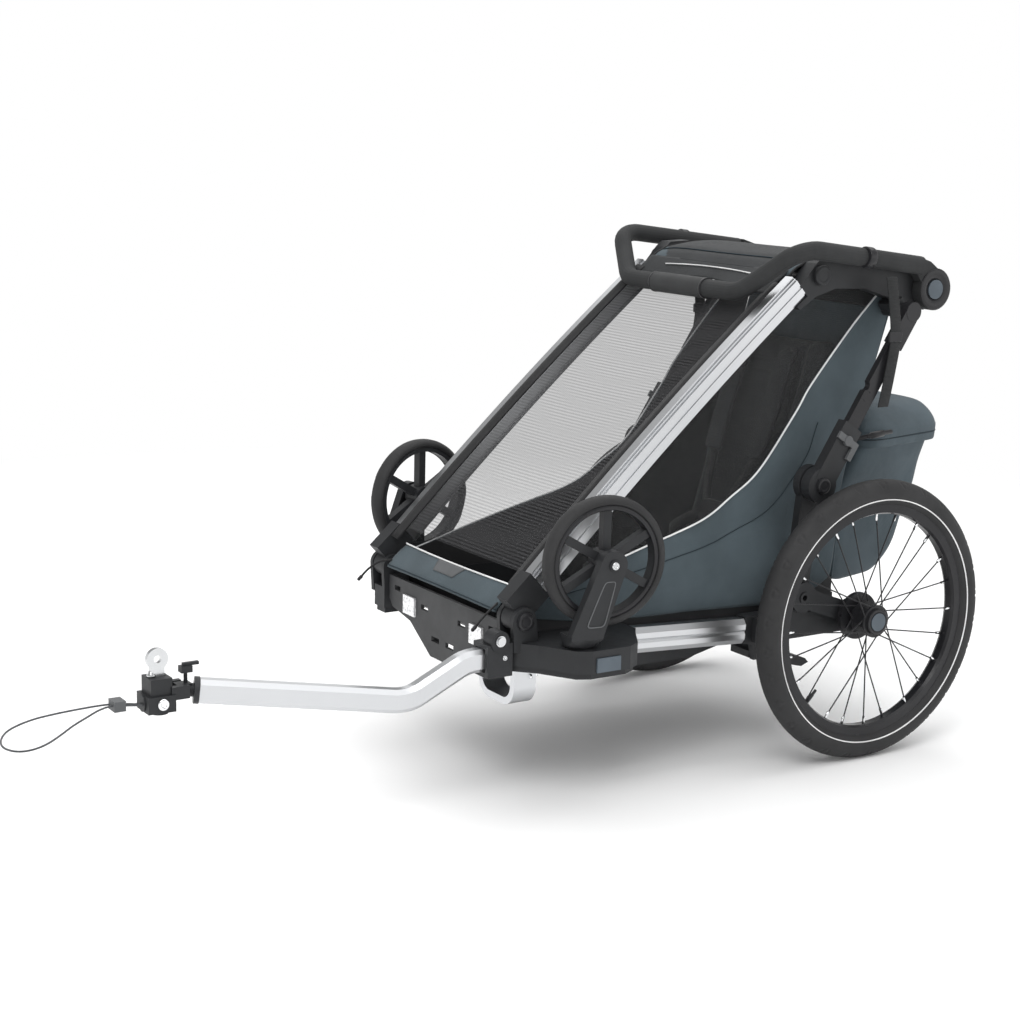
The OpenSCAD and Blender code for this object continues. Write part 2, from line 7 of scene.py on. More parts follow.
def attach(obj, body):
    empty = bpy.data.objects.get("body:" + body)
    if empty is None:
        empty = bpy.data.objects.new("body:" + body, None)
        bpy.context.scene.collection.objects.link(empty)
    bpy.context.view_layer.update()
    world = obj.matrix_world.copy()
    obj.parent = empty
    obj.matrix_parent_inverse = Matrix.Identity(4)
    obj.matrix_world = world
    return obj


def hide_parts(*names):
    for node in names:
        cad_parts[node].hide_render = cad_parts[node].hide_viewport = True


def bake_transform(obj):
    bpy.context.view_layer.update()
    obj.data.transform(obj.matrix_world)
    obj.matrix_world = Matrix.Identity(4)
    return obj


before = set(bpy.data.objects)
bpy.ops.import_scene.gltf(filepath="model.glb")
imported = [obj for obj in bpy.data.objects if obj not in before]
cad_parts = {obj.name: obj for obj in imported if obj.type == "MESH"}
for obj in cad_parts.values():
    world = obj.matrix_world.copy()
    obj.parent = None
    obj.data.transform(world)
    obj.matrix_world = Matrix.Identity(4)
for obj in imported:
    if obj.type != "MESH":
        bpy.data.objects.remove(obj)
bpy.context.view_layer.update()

# ---- places ----
# Points are written as in the CAD source: millimetres, with y = 0 under the main axle.
AXLE_Y = 0.484                        # the main axle's place in the frame, in metres
LO, HI = (-664, 345), (-128, 829)     # the ends of an upright's middle line, seen from the side
UPRIGHT_LENGTH = 722.17
UPRIGHT_BOW = 9                       # how far it bows forward at half length
FOLD = (-677, 312)                    # the frame's folding hinge
U = ((HI[0] - LO[0]) / UPRIGHT_LENGTH, (HI[1] - LO[1]) / UPRIGHT_LENGTH)
N = (-U[1], U[0])
SIDES = ((-1, "right"), (1, "left"))


def P(x, y, z):
    return Vector((x / 1000, y / 1000 + AXLE_Y, z / 1000))


def on_upright(x, s, n):
    """A point s along the bowed, sloping upright and n above its middle line."""
    n += UPRIGHT_BOW * (1 - (2 * s / UPRIGHT_LENGTH - 1) ** 2)
    return P(x, LO[0] + U[0] * s + N[0] * n, LO[1] + U[1] * s + N[1] * n)


def ease(t):
    t = min(max(t, 0.0), 1.0)
    return t * t * (3 - 2 * t)


def curve_at(points, t):
    """A Catmull-Rom point at t from 0 to 1 along a list of tuples."""
    n = len(points) - 1
    f = min(max(t, 0.0), 1.0) * n
    i = min(int(f), n - 1)
    f -= i
    p = [np.array(points[min(max(i + k, 0), n)], float) for k in (-1, 0, 1, 2)]
    return 0.5 * (2 * p[1] + (p[2] - p[0]) * f + (2 * p[0] - 5 * p[1] + 4 * p[2] - p[3]) * f * f
                  + (3 * p[1] - p[0] - 3 * p[2] + p[3]) * f ** 3)


def smooth_path(points, n):
    """n + 1 points along a smooth line through the given ones."""
    return [Vector(curve_at([tuple(p) for p in points], i / n)) for i in range(n + 1)]


def powered(v, exponent):
    """v to a power with its sign kept, which squares off a circle."""
    return (1 if v > 0 else -1) * abs(v) ** exponent


# ---- camera ----
CAMERA_AT = (2.7112, -1.8010, 1.0884)
CAMERA_TURN = (1.00342, 0.199331, 0.0232121)     # azimuth, elevation and roll in radians
CAMERA_LENS = 67.41


def make_camera():
    az, el, roll = CAMERA_TURN
    x, y, z = CAMERA_AT
    back = Vector((sin(az) * cos(el), -cos(az) * cos(el), sin(el)))
    right = Vector((cos(az), sin(az), 0))
    up = back.cross(right)
    r2 = right * cos(roll) + up * sin(roll)
    u2 = up * cos(roll) - right * sin(roll)
    cam = bpy.data.cameras.new("camera")
    cam.lens, cam.sensor_width = CAMERA_LENS, 36
    cam.clip_end = 100
    ob = bpy.data.objects.new("camera", cam)
    ob.matrix_world = Matrix(((r2.x, u2.x, back.x, x), (r2.y, u2.y, back.y, y), (r2.z, u2.z, back.z, z),
                              (0, 0, 0, 1)))
    bpy.context.scene.collection.objects.link(ob)
    bpy.context.scene.camera = ob


make_camera()

# ---- materials ----
class Mat:
    """A Principled material with small helpers for procedural detail."""

    def __init__(self, name, color, rough=0.5, metallic=0.0, **sockets):
        self.m = bpy.data.materials.new(name)
        self.m.use_nodes = True
        self.t = self.m.node_tree
        self.b = self.t.nodes["Principled BSDF"]
        self.color = color
        self.b.inputs["Base Color"].default_value = (*color, 1)
        self.b.inputs["Roughness"].default_value = rough
        self.b.inputs["Metallic"].default_value = metallic
        for k, v in sockets.items():
            self.b.inputs[k.replace("_", " ")].default_value = v
        self.coord = self.node("ShaderNodeTexCoord").outputs["Object"]
        self.height = None

    def node(self, kind, **values):
        n = self.t.nodes.new(kind)
        for k, v in values.items():
            if k in n.inputs:
                n.inputs[k].default_value = v
            else:
                setattr(n, k, v)
        return n

    def link(self, a, b):
        self.t.links.new(a, b)

    def noise(self, scale, detail=3.0, stretch=(1, 1, 1)):
        m = self.node("ShaderNodeMapping")
        m.inputs["Scale"].default_value = stretch
        self.link(self.coord, m.inputs["Vector"])
        n = self.node("ShaderNodeTexNoise", Scale=scale, Detail=detail)
        self.link(m.outputs[0], n.inputs["Vector"])
        return n.outputs["Fac"]

    def mix(self, fac, low, high, spread=(0.35, 0.65)):
        """Colour that runs from low to high as fac does."""
        r = self.node("ShaderNodeValToRGB")
        r.color_ramp.elements[0].position, r.color_ramp.elements[1].position = spread
        r.color_ramp.elements[0].color, r.color_ramp.elements[1].color = (*low, 1), (*high, 1)
        self.link(fac, r.inputs["Fac"])
        self.link(r.outputs["Color"], self.b.inputs["Base Color"])

    def rough(self, fac, low, high):
        r = self.node("ShaderNodeMapRange")
        r.inputs["To Min"].default_value, r.inputs["To Max"].default_value = low, high
        self.link(fac, r.inputs["Value"])
        self.link(r.outputs["Result"], self.b.inputs["Roughness"])

    def bump(self, height, strength, distance):
        n = self.node("ShaderNodeBump", Strength=strength, Distance=distance)
        self.link(height, n.inputs["Height"])
        if self.height:
            self.link(self.height, n.inputs["Normal"])
        self.height = n.outputs["Normal"]
        self.link(self.height, self.b.inputs["Normal"])

    def weave(self, pitch, strength=0.5):
        """Threads that run along all three axes, so any panel shows two of them crossing."""
        total = None
        for axis in "XYZ":
            w = self.node("ShaderNodeTexWave", Scale=0.314 / pitch, Distortion=0.6)
            w.bands_direction = axis
            self.link(self.coord, w.inputs["Vector"])
            if total is None:
                total = w.outputs["Fac"]
            else:
                a = self.node("ShaderNodeMath", operation="ADD")
                self.link(total, a.inputs[0])
                self.link(w.outputs["Fac"], a.inputs[1])
                total = a.outputs[0]
        self.bump(total, strength, pitch * 0.25)
        return total


def plastic(name, color, rough=0.5, grain=900):
    k = Mat(name, color, rough, Specular_IOR_Level=0.3)
    k.mix(k.noise(14), [c * 0.88 for c in color], [c * 1.12 for c in color])
    k.rough(k.noise(60), rough - 0.06, rough + 0.1)
    k.bump(k.noise(grain, 2), 0.25, 0.0004)
    return k.m


def cloth(name, color, pitch=0.0011, rough=0.82, strength=0.45, puckers=0.35):
    k = Mat(name, color, rough, Sheen_Weight=0.08, Sheen_Roughness=0.45, Specular_IOR_Level=0.25)
    k.mix(k.noise(9, 4), [c * 0.86 for c in color], [c * 1.14 for c in color])
    k.bump(k.noise(16, 3), puckers, 0.006)
    k.weave(pitch, strength)
    return k.m


def metal(name, color, rough, stretch, lines=500):
    k = Mat(name, color, rough, 1.0)
    k.rough(k.noise(12), rough - 0.02, rough + 0.03)
    k.mix(k.noise(7), [c * 0.96 for c in color], color)
    k.bump(k.noise(lines, 2, stretch), 0.012, 0.0002)
    return k.m


BLUE = (0.07, 0.092, 0.105)
M = {
    "aluminium": metal("aluminium", (0.6, 0.61, 0.625), 0.28, (1, 0.05, 0.05)),
    "steel": metal("steel", (0.62, 0.63, 0.64), 0.22, (1, 1, 1)),
    "chrome": metal("chrome", (0.86, 0.87, 0.88), 0.1, (1, 1, 1)),
    "chassis": plastic("chassis_plastic", (0.022, 0.023, 0.025), 0.48),
    "gloss": plastic("gloss_plastic", (0.018, 0.018, 0.02), 0.28),
    "shell": plastic("shell_plastic", (0.045, 0.046, 0.048), 0.5, 500),
    "grey": plastic("grey_plastic", (0.1, 0.104, 0.108), 0.5),
    "button": plastic("button_plastic", (0.085, 0.105, 0.125), 0.42),
    "rim": plastic("rim_black", (0.016, 0.016, 0.018), 0.22),
    "foam": plastic("foam", (0.03, 0.031, 0.032), 0.78, 1500),
    "grip": plastic("grip_foam", (0.038, 0.039, 0.04), 0.7, 700),
    "rubber": plastic("tyre_rubber", (0.028, 0.028, 0.029), 0.66, 1200),
    "blue": cloth("shell_fabric", BLUE),
    "roof": cloth("roof_fabric", (0.03, 0.032, 0.034), 0.0014),
    "bag": cloth("bag_fabric", (0.068, 0.09, 0.104), 0.0012, puckers=0.6),
    "seat": cloth("seat_fabric", (0.03, 0.032, 0.034), 0.002, strength=0.7),
    "lining": cloth("seat_lining", (0.04, 0.06, 0.07), 0.0012),
    "binding": cloth("binding", (0.018, 0.018, 0.019), 0.0012, 0.7),
    "web": cloth("webbing", (0.022, 0.023, 0.024), 0.0026, 0.75, 0.9, 0.1),
    "reflect": plastic("reflective_piping", (0.8, 0.8, 0.8), 0.5, 300),
    "cord": cloth("cord_braid", (0.09, 0.094, 0.1), 0.0016, 0.7, 0.9, 0.1),
    "thread": plastic("thread", (0.02, 0.03, 0.037), 0.8),
}


def see_through(name, color, alpha, rough, pitch, spread=0.0):
    """A woven cloth or film that shows what is behind it, in bands if spread is more than 0."""
    k = Mat(name, color, rough, Alpha=alpha)
    total = k.weave(pitch, 0.4)
    k.mix(total, [c * 0.6 for c in color], [min(c * 1.8, 1) for c in color], (0.6, 2.2))
    k.bump(k.noise(9, 2), 0.3, 0.01)
    if spread:
        r = k.node("ShaderNodeMapRange")
        r.inputs["From Min"].default_value, r.inputs["From Max"].default_value = 0.7, 2.1
        r.inputs["To Min"].default_value, r.inputs["To Max"].default_value = alpha - spread, alpha + spread
        k.link(total, r.inputs["Value"])
        k.link(r.outputs["Result"], k.b.inputs["Alpha"])
    return k.m


M["screen"] = see_through("mesh_screen", (0.04, 0.04, 0.042), 0.32, 0.85, 0.0046, 0.14)
M["film"] = see_through("window_film", (0.024, 0.025, 0.026), 0.3, 0.35, 0.004)


def reflector():
    k = Mat("reflector", (0.85, 0.86, 0.87), 0.12, 0.35, Coat_Weight=0.8)
    v = k.node("ShaderNodeTexVoronoi", Scale=190.0)
    k.link(k.coord, v.inputs["Vector"])
    k.mix(v.outputs["Distance"], (0.55, 0.56, 0.58), (0.95, 0.95, 0.96), (0.1, 0.5))
    k.bump(v.outputs["Distance"], 0.8, 0.002)
    return k.m


M["reflector"] = reflector()

NODE_MATERIALS = {
    "aluminium": "side_rails front_hoop hitch_arm uprights",
    "steel": "hitch_release_button axle_bracket",
    "chassis": "rail_couplers front_brackets floor_tub knuckle_brackets hitch_receiver hitch_neck hitch_head "
               "hitch_pin brake_pedal suspension_arm_left suspension_arm_right stroller_arm_left stroller_arm_right "
               "stroller_wheel_left stroller_wheel_right upright_feet top_arms rear_posts",
    "gloss": "axle_beam top_crossbars post_rails hub_left hub_right spokes_left spokes_right",
    "rim": "rim_left rim_right",
    "shell": "front_shell",
    "grey": "fold_latches cord_lock",
    "button": "hub_button_left hub_button_right stroller_button_left stroller_button_right "
              "handlebar_button_left handlebar_button_right",
    "foam": "handlebar",
    "grip": "handlebar_grip",
    "rubber": "tyre_left tyre_right stroller_tyre_left stroller_tyre_right",
    "reflector": "front_reflectors",
}
for key, names in NODE_MATERIALS.items():
    for name in names.split():
        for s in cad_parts[name].material_slots:
            s.material = M[key]

# ---- building blocks ----
BOX_FACES = [(0, 1, 2, 3), (7, 6, 5, 4), (0, 4, 5, 1), (1, 5, 6, 2), (2, 6, 7, 3), (3, 7, 4, 0)]


def piece(name, verts, faces, materials, smooth=True, face_mats=None):
    me = bpy.data.meshes.new(name)
    me.from_pydata([tuple(v) for v in verts], [], faces)
    me.update()
    for m in ([materials] if isinstance(materials, str) else materials):
        me.materials.append(M[m])
    if face_mats:
        me.polygons.foreach_set("material_index", face_mats)
    if smooth:
        me.polygons.foreach_set("use_smooth", [True] * len(me.polygons))
    ob = bpy.data.objects.new(name, me)
    bpy.context.scene.collection.objects.link(ob)
    return ob


def applied(ob):
    """Bakes the object's modifiers into its mesh."""
    bpy.context.view_layer.update()
    graph = bpy.context.evaluated_depsgraph_get()
    me = bpy.data.meshes.new_from_object(ob.evaluated_get(graph))
    ob.modifiers.clear()
    ob.data = me
    return ob


def solid(ob, thickness, offset=-1.0, lining=None):
    """Gives a sheet its thickness, and if lining is named, that material on its back."""
    m = ob.modifiers.new("solidify", "SOLIDIFY")
    m.thickness, m.offset = thickness, offset
    if lining:
        ob.data.materials.append(M[lining])
        m.material_offset = 1
    return ob


def bevelled(ob, width, segments=2):
    m = ob.modifiers.new("bevel", "BEVEL")
    m.width, m.segments, m.limit_method = width, segments, "ANGLE"
    return ob


def grid(name, at, nu, nv, materials, thickness=0.0, chooser=None):
    """A sheet of nu by nv faces through at(u, v), with u and v from 0 to 1."""
    verts = [at(i / nu, j / nv) for j in range(nv + 1) for i in range(nu + 1)]
    row = nu + 1
    cells = [(i, j) for j in range(nv) for i in range(nu)]
    faces = [(j * row + i, j * row + i + 1, (j + 1) * row + i + 1, (j + 1) * row + i) for i, j in cells]
    mats = [chooser((i + 0.5) / nu, (j + 0.5) / nv) for i, j in cells] if chooser else None
    ob = piece(name, verts, faces, materials, True, mats)
    return solid(ob, thickness) if thickness else ob


def tube(name, points, radius, material, closed=False):
    c = bpy.data.curves.new(name, "CURVE")
    c.dimensions, c.bevel_depth, c.bevel_resolution, c.use_fill_caps = "3D", radius, 4, True
    s = c.splines.new("POLY")
    s.points.add(len(points) - 1)
    for p, q in zip(s.points, points):
        p.co = (*q, 1)
    s.use_cyclic_u = closed
    c.materials.append(M[material])
    ob = bpy.data.objects.new(name, c)
    bpy.context.scene.collection.objects.link(ob)
    return ob


def as_mesh(curve, name):
    """Turns a tube into a mesh of its own."""
    me = bpy.data.meshes.new_from_object(curve.evaluated_get(bpy.context.evaluated_depsgraph_get()))
    ob = bpy.data.objects.new(name, me)
    bpy.context.scene.collection.objects.link(ob)
    bpy.data.objects.remove(curve)
    return ob


def ribbon(name, points, across, width, thickness, material):
    """A flat belt along points, as wide as width in the direction across."""
    a = Vector(across).normalized() * width / 2
    verts = [q for p in points for q in (p - a, p + a)]
    faces = [(2 * i, 2 * i + 1, 2 * i + 3, 2 * i + 2) for i in range(len(points) - 1)]
    return solid(piece(name, verts, faces, material), thickness, 0.0)


def lathe(name, profile, centre, material, steps=96, shift=None):
    """Turns (radius, x) points about the x axis through centre. shift(angle, k) adds to point k's radius."""
    verts, faces = [], []
    m = len(profile)
    for i in range(steps):
        a = 2 * pi * i / steps
        for k, (r, x) in enumerate(profile):
            rr = r + (shift(a, k) if shift else 0)
            verts.append(centre + Vector((x, rr * cos(a), rr * sin(a))) / 1000)
    for i in range(steps):
        for k in range(m):
            j, l = (i + 1) % steps, (k + 1) % m
            faces.append((i * m + k, i * m + l, j * m + l, j * m + k))
    return piece(name, verts, faces, material)


def turned(name, centre, axis, profile, material, sides=32):
    """A small turned part: (height, radius) points along axis from centre, in millimetres."""
    axis = Vector(axis).normalized()
    q = Vector((0, 0, 1)).rotation_difference(axis)
    verts, faces = [], []
    for h, r in profile:
        for i in range(sides):
            a = 2 * pi * i / sides
            verts.append(centre + q @ (Vector((r * cos(a), r * sin(a), h)) / 1000))
    for k in range(len(profile) - 1):
        for i in range(sides):
            j = (i + 1) % sides
            faces.append((k * sides + i, k * sides + j, (k + 1) * sides + j, (k + 1) * sides + i))
    faces.append(tuple(range(sides))[::-1])
    faces.append(tuple((len(profile) - 1) * sides + i for i in range(sides)))
    ob = piece(name, verts, faces, material)
    ob.data.polygons[-1].use_smooth = False
    return ob


def knob(name, centre, axis, profile, material, body, sides=32):
    """A turned part that rides on a body."""
    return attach(turned(name, centre, axis, profile, material, sides), body)


def folding(ob):
    """Soft goods between the chassis and the upper frame: bakes the object's placement into its mesh and leaves it
    where it is."""
    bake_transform(ob)
    return ob


# ---- safety cord ----
CORD = [(96, -1262, 222), (92, -1275, 222), (86, -1285, 222), (80, -1298, 222), (76, -1310, 222), (72, -1330, 221),
        (66, -1360, 218), (60, -1392, 214), (60, -1420, 211), (68, -1447, 208), (84, -1469, 206), (106, -1484, 204),
        (132, -1492, 203), (158, -1491, 204), (176, -1480, 205), (182, -1462, 207), (174, -1440, 209),
        (156, -1415, 212), (132, -1386, 216), (110, -1358, 218), (94, -1333, 221), (86, -1312, 222), (89, -1299, 222),
        (95, -1286, 222), (100, -1275, 222), (104, -1262, 222)]
cord_points = [P(*curve_at(CORD, i / 150)) for i in range(151)]
cord = tube("safety_cord_loop", cord_points, 0.0015, "cord")
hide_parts("safety_cord")
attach(cord, "hitch_head")

# ---- front cover: mesh screen, black binding, padded strip ----
SCREEN_TOP = 735


def cover_n(x, s):
    """The cover lies just above the bars and sags a little between them."""
    return 19.5 - 5.0 * (1 - (x / 198) ** 2) * sin(pi * min(max(s / SCREEN_TOP, 0), 1))


def on_cover(x, s, lift=0.0):
    return on_upright(x, s, cover_n(x, s) + lift)


def gap_edge(x):
    """Lower edge of the band below the roof, arched over an open slot."""
    return 678 + 20 * max(0.0, 1 - (x / 118) ** 2)


screen = grid("front_screen", lambda u, v: on_cover(-182 + 364 * u, 30 + 650 * v), 40, 60, "screen")
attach(screen, "upper_frame")
band = grid("front_band", lambda u, v: on_cover(-196 + 392 * u, gap_edge(-196 + 392 * u) * (1 - v) + 738 * v, 1.5),
            48, 12, "roof", 0.0016)
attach(band, "upper_frame")
for side, tag in SIDES:
    edge = grid("front_binding_" + tag,
                lambda u, v, side=side: on_upright(side * (182 + 23 * u), 4 + 700 * v,
                                                   20.0 + 4.0 * ease(u * 1.4) * ease((1 - u) * 5)),
                8, 60, "binding", 0.003)
    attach(edge, "upper_frame")
stripe = tube("roof_light_piping", [on_cover(x, 716 + 8 * (1 - (x / 150) ** 2), 3.0) for x in range(-130, 131, 10)],
              0.0012, "reflect")
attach(stripe, "upper_frame")

SLO = (-689, 308)
strip_len = sqrt((HI[0] - SLO[0]) ** 2 + (HI[1] - SLO[1]) ** 2)
SU = ((HI[0] - SLO[0]) / strip_len, (HI[1] - SLO[1]) / strip_len)


def on_strip(x, s, n):
    return P(x, SLO[0] + SU[0] * s - SU[1] * n, SLO[1] + SU[1] * s + SU[0] * n)


def strip_n(x, s):
    return 12 + 9 * (1 - (x / 180) ** 2) + 3.0 * sin(pi * min(max((s + 2) / 54, 0), 1))


def strip_s(x, v):
    bow = 7 * (1 - (x / 180) ** 2)
    return (0 - bow * 0.3) * (1 - v) + (54 - bow) * v


def strip_at(x, v, lift=0.0):
    """A point across the strip, with v from 0 at its lower edge to 1 at its upper edge."""
    s = strip_s(x, v)
    return on_strip(x, s, strip_n(x, s) + lift)


def patch_at(u, v):
    x, s = (-44 + 88 * u) * (0.72 + 0.28 * v), 22 + 24 * v
    return on_strip(x, s, strip_n(x, s) + 1.4)


strip = grid("front_strip_pad", lambda u, v: strip_at(-180 + 360 * u, v), 60, 12, "blue", 0.004)
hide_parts("front_cover", "front_strip")
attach(strip, "upper_frame")
for name, v, r, lift, key in (("strip_piping", 1.0, 0.0015, 1.5, "reflect"),
                              ("strip_hem", 0.06, 0.0012, 0.6, "thread")):
    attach(tube(name, [strip_at(x, v, lift) for x in range(-180, 181, 6)], r, key), "upper_frame")
patch = grid("strip_patch", patch_at, 12, 6, "grey", 0.0012)
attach(patch, "upper_frame")
HOOK = [(176, 14, 16), (184, 4, 22), (190, -8, 27), (193, -26, 30), (194, -44, 30)]
for side, tag in SIDES:
    path = smooth_path([on_strip(side * x, s, n) for x, s, n in HOOK], 20)
    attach(tube("corner_hook_" + tag, path, 0.0019, "binding"), "upper_frame")
    end = on_strip(side * 194, -42, 30)
    knob("corner_hook_end_" + tag, end, on_strip(side * 194, -52, 30) - end,
         [(0, 2.2), (1, 3.2), (9, 3.0), (11, 1.6)], "gloss", "upper_frame", 16)

# ---- side cloths: window film above the piping, blue cloth below it ----
PIPING = [(-650, 336), (-569.6, 357.8), (-430, 395.7), (-299.2, 431.5), (-233, 469), (-172.6, 511.8), (-98, 606),
          (-90.3 + 26, 655), (16.4, 747.3), (62.1, 793.3), (76, 806)]
BOTTOM = [(-640, 302), (-540, 286), (-420, 278), (-300, 275), (-200, 270), (-90, 268), (-10, 296), (8, 330),
          (21, 470), (54, 590), (86, 700), (114, 800)]


def swell(y, z):
    """How far the cloth stands out past its straight plane, clear of the bars."""
    rise = (z - 270) / 150
    return 7 * max(0.0, sin(pi * min(max(rise, 0), 1))) * ease((y + 640) / 180) * ease((60 - y) / 200)


def pucker(y, z, amount=1.6):
    broad, fine = Vector((y / 55, z / 90, 3.7)), Vector((y / 18, z / 70, 9.1))
    return amount * noise.noise(broad) + 0.6 * amount * noise.noise(fine)


def side_blue(side):
    """The blue cloth of one side, from its bottom edge to the piping, with ribs pressed into its middle."""
    def at(u, v):
        a, b = curve_at(BOTTOM, u), curve_at(PIPING, u)
        y, z = a[0] * (1 - v) + b[0] * v, a[1] * (1 - v) + b[1] * v
        ribs = 1.1 * sin(v * 60) * ease((u - 0.3) / 0.1) * ease((0.62 - u) / 0.1) * ease((v - 0.62) / 0.1)
        return P(side * (194.5 + swell(y, z) + (pucker(y, z) + ribs) * sin(pi * v) * 0.8), y, z)
    return at


TOPLINE = [(-640, 352), (-562, 430), (-473, 512), (-384, 594), (-294, 675), (-203, 754), (-150, 796), (-104, 822),
           (-50, 834), (10, 834), (90, 812)]


def side_film(side):
    """The window of one side, from the piping to the upright and the roof arm."""
    def at(u, v):
        a, b = curve_at(PIPING, u), curve_at(TOPLINE, u)
        y, z = a[0] * (1 - v) + b[0] * v, a[1] * (1 - v) + b[1] * v
        return P(side * (195.5 + 1.4 * pucker(y, z) * sin(pi * v) * sin(pi * u)), y, z)
    return at


for side, tag in SIDES:
    out = Vector((side, 0, 0))
    cloth_at = side_blue(side)
    lower = grid("side_cloth_" + tag, cloth_at, 110, 30, "blue")
    if side < 0:
        lower.data.flip_normals()
    solid(lower, 0.0022, -1, "binding")
    film = grid("side_window_" + tag, side_film(side), 80, 24, "film")
    lip = tube("side_piping_" + tag, [cloth_at(i / 120, 1.0) + out * 0.0016 for i in range(121)], 0.0016, "reflect")
    seam = tube("side_seam_" + tag, [cloth_at(0.06 + i / 140, 0.72) + out * 0.0006 for i in range(90)],
                0.0008, "thread")
    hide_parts("side_panels")
    for ob in (lower, film):
        folding(applied(ob) if ob.modifiers else ob)
    for ob in (lip, seam):
        folding(as_mesh(ob, ob.name + "_line"))

# ---- roof ----
ROOF = [(-132, 853), (-118, 866), (-104, 873), (-84, 880), (-20, 886), (60, 876), (136, 860)]


def roof_at(u, v, lift=0.0):
    p = curve_at(ROOF, v)
    x = -199 + 398 * u
    drop = 10 * (abs(x) / 199) ** 6 + 3.0 * (1 - (x / 199) ** 2) * sin(pi * v)
    return P(x, p[0], p[1] - drop + lift)


def roof_colour(u, v):
    """The front corners of the roof are blue."""
    corner = abs(u - 0.5) * 2
    return 1 if corner > 0.74 + 0.5 * v and v < 0.5 else 0


roof = grid("roof_cloth", roof_at, 64, 48, ["roof", "blue"], 0.0022, roof_colour)
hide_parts("canopy")
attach(roof, "upper_frame")
for name, v in (("roof_seam_front", 0.3), ("roof_seam_back", 0.86)):
    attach(tube(name, [roof_at(u / 40, v, 1.0) for u in range(1, 40)], 0.0013, "thread"), "upper_frame")
for side, tag in SIDES:
    path = [roof_at(0.5 + side * 0.5, v / 40, 0.5) for v in range(41)]
    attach(tube("roof_edge_" + tag, path, 0.0022, "binding"), "upper_frame")

# ---- seat: two sewn pads ----
PAD_VOXEL = 0.006
PUFF_FRAMES = 20


def puffed(ob, limit, pressure=4.0):
    """Swells a closed pad with a short cloth simulation, capped at limit metres from where it began."""
    remesh = ob.modifiers.new("remesh", "REMESH")
    remesh.mode, remesh.voxel_size = "VOXEL", PAD_VOXEL
    applied(ob)
    start = np.array([v.co for v in ob.data.vertices])
    m = ob.modifiers.new("cloth", "CLOTH")
    m.settings.use_pressure, m.settings.uniform_pressure_force = True, pressure
    m.settings.effector_weights.gravity = 0
    m.settings.quality = 5
    m.collision_settings.use_collision = False
    m.point_cache.frame_start, m.point_cache.frame_end = 1, PUFF_FRAMES
    for f in range(1, PUFF_FRAMES + 1):
        bpy.context.scene.frame_set(f)
    applied(ob)
    bpy.context.scene.frame_set(1)
    end = np.array([v.co for v in ob.data.vertices])
    move = end - start
    far = np.linalg.norm(move, axis=1, keepdims=True)
    end = start + move * np.minimum(1, limit / np.maximum(far, 1e-9))
    ob.data.vertices.foreach_set("co", end.astype(np.float32).ravel())
    ob.data.update()
    return ob


def slab(name, route, half_width, thickness, material):
    """A closed pad that follows a side-view route of (y, z), with rounded sides."""
    n, m = 60, 36
    verts, faces = [], []
    for i in range(n + 1):
        t = i / n
        a, b = curve_at(route, max(t - 0.01, 0)), curve_at(route, min(t + 0.01, 1))
        c = curve_at(route, t)
        d = (b - a) / np.linalg.norm(b - a)
        normal = np.array((-d[1], d[0]))
        end = (1 - abs(2 * t - 1) ** 10) ** 0.5
        for j in range(m):
            w = 2 * pi * j / m
            cx, cn = cos(w), sin(w)
            x = half_width * powered(cx, 0.3) * (0.93 + 0.07 * end)
            k = thickness / 2 * powered(cn, 0.6) * max(end, 0.05)
            verts.append(P(x, c[0] + normal[0] * k, c[1] + normal[1] * k))
    for i in range(n):
        for j in range(m):
            l = (j + 1) % m
            faces.append((i * m + j, i * m + l, (i + 1) * m + l, (i + 1) * m + j))
    faces.append(tuple(range(m))[::-1])
    faces.append(tuple(n * m + j for j in range(m)))
    return piece(name, verts, faces, material)


def sewn(ob, channel, depth, normal):
    """Presses sewn channels into a pad: channel(co) gives the distance in metres from a seam."""
    n = Vector(normal).normalized()
    for v in ob.data.vertices:
        facing = max(0.0, v.normal.dot(n))
        v.co -= n * depth * facing * max(0.0, 1 - channel(v.co) / 0.012) ** 2
    return ob


def finished(ob):
    """Subdivides and smooths a pad after its seams are pressed in."""
    s = ob.modifiers.new("subdivision", "SUBSURF")
    s.levels = s.render_levels = 1
    m = ob.modifiers.new("smooth", "SMOOTH")
    m.iterations, m.factor = 3, 0.5
    applied(ob)
    ob.data.polygons.foreach_set("use_smooth", [True] * len(ob.data.polygons))
    return ob


def back_seams(c):
    bolster = 0.02 if abs(c.x) > 0.085 else 0
    return min(abs(abs(c.x) - 0.085), abs((c.z - 0.34) % 0.09 - 0.045) + bolster)


def base_seams(c):
    return min(abs(abs(c.x) - 0.08), abs((c.y - 0.16) % 0.08 - 0.04))


BACK = [(-78, 312), (-62, 352), (-34, 440), (0, 560), (26, 650), (44, 722)]
back = puffed(slab("seat_back_pad", BACK, 138, 34, "seat"), 0.008)
sewn(back, back_seams, 0.006, (0, -0.958, 0.287))
finished(back)
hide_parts("seat_back")
folding(back)
BASE = [(-322, 282), (-290, 286), (-220, 290), (-150, 293), (-112, 292)]
base = puffed(slab("seat_base_pad", BASE, 138, 34, "seat"), 0.008)
sewn(base, base_seams, 0.006, (0, 0, 1))
finished(base)
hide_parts("seat_base")
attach(base, "chassis")
BOARD = [(-326, 254), (-326, 264), (-110, 274), (-108, 256)]
board = piece("seat_board", [P(x, y, z) for x in (-142, 142) for y, z in BOARD], BOX_FACES, "chassis", False)
bevelled(board, 0.003)
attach(board, "chassis")

